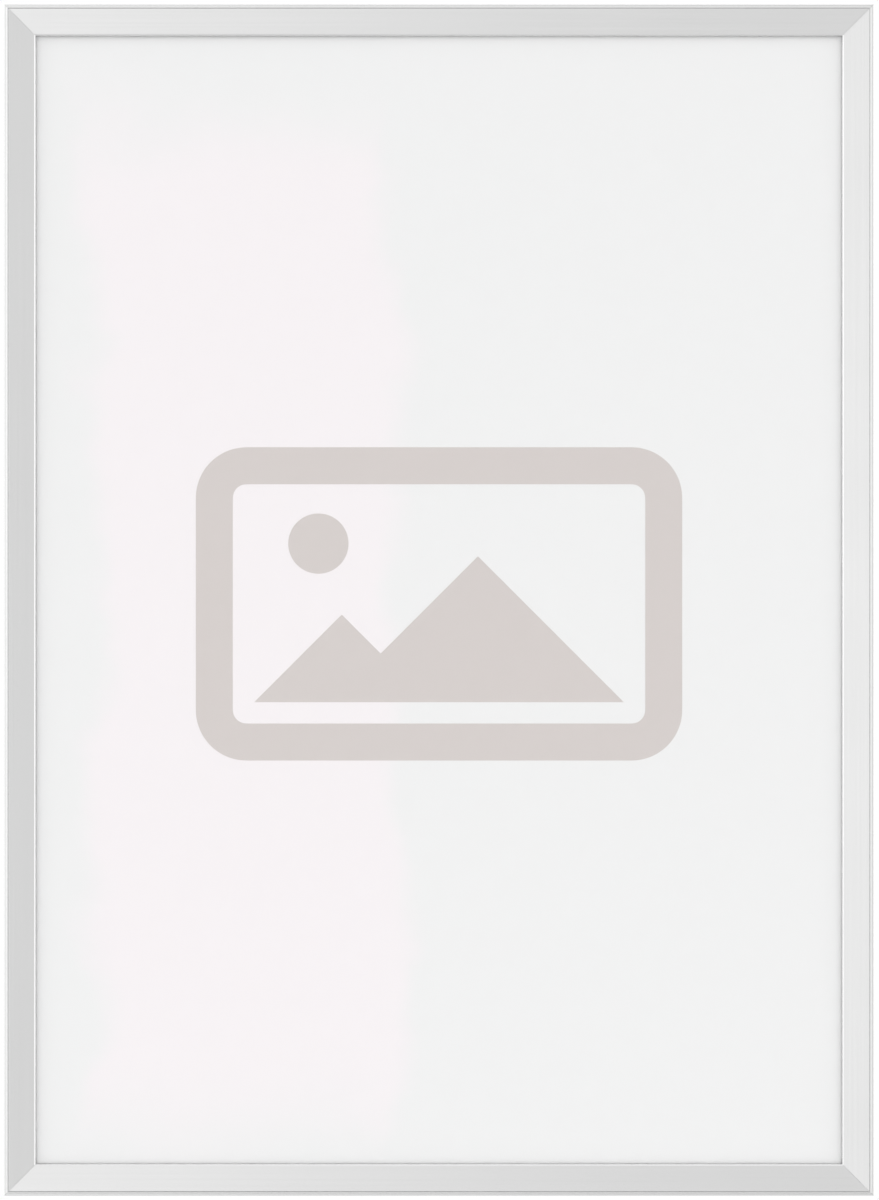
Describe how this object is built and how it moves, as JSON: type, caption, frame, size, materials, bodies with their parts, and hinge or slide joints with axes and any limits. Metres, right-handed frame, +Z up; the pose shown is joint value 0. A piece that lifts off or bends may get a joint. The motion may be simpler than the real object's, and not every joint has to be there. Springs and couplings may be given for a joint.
{
  "type": "poster frame",
  "caption": "Wall poster frame whose mitred aluminium front rails snap open on edge hinges and clamp a poster under a clear cover against a stiff back panel.",
  "frame": {"origin": "back of the upper base rail, midway along it, on the line of the wall screws", "axes": "+Z up the wall, +Y into the wall, so the poster faces -Y"},
  "size_m": [0.8926, 0.0127, 1.223],
  "materials": {
    "anodised_aluminium": "satin silver anodised",
    "spring_steel": "rolled spring steel",
    "zinc_plated_steel": "zinc plated",
    "blackened_steel": "black oxide",
    "polystyrene": "matt white",
    "printed_paper": "matt coated, printed",
    "clear_polyester": "clear, anti-glare"
  },
  "bodies": {
    "base_frame": {"bottom_base_rail": "anodised_aluminium", "right_base_rail": "anodised_aluminium", "top_base_rail": "anodised_aluminium", "left_base_rail": "anodised_aluminium", "bottom_spring_1": "spring_steel", "bottom_spring_2": "spring_steel", "right_spring_1": "spring_steel", "right_spring_2": "spring_steel", "right_spring_3": "spring_steel", "top_spring_1": "spring_steel", "top_spring_2": "spring_steel", "left_spring_1": "spring_steel", "left_spring_2": "spring_steel", "left_spring_3": "spring_steel", "lower_right_corner_key": "zinc_plated_steel", "lower_right_across_set_screw": "blackened_steel", "lower_right_upright_set_screw": "blackened_steel", "upper_right_corner_key": "zinc_plated_steel", "upper_right_across_set_screw": "blackened_steel", "upper_right_upright_set_screw": "blackened_steel", "upper_left_corner_key": "zinc_plated_steel", "upper_left_across_set_screw": "blackened_steel", "upper_left_upright_set_screw": "blackened_steel", "lower_left_corner_key": "zinc_plated_steel", "lower_left_across_set_screw": "blackened_steel", "lower_left_upright_set_screw": "blackened_steel", "backing_panel": "polystyrene", "poster_sheet": "printed_paper", "clear_cover": "clear_polyester"},
    "bottom_rail": {"bottom_snap_rail": "anodised_aluminium"},
    "right_rail": {"right_snap_rail": "anodised_aluminium"},
    "top_rail": {"top_snap_rail": "anodised_aluminium"},
    "left_rail": {"left_snap_rail": "anodised_aluminium"}
  },
  "joints": [
    {"name": "bottom_rail_hinge", "type": "hinge", "parent": "base_frame", "child": "bottom_rail", "pos_m": [0, -0.0107, -1.20923], "axis": [1, 0, 0], "range_deg": [0, 100], "deforming": ["bottom_spring_1", "bottom_spring_2"]},
    {"name": "right_rail_hinge", "type": "hinge", "parent": "base_frame", "child": "right_rail", "pos_m": [0.44303, -0.0107, -0.601], "axis": [0, 0, 1], "range_deg": [0, 100], "deforming": ["right_spring_1", "right_spring_2", "right_spring_3"]},
    {"name": "top_rail_hinge", "type": "hinge", "parent": "base_frame", "child": "top_rail", "pos_m": [0, -0.0107, 0.00723], "axis": [-1, 0, 0], "range_deg": [0, 100], "deforming": ["top_spring_1", "top_spring_2"]},
    {"name": "left_rail_hinge", "type": "hinge", "parent": "base_frame", "child": "left_rail", "pos_m": [-0.44303, -0.0107, -0.601], "axis": [0, 0, -1], "range_deg": [0, 100], "deforming": ["left_spring_1", "left_spring_2", "left_spring_3"]}
  ]
}
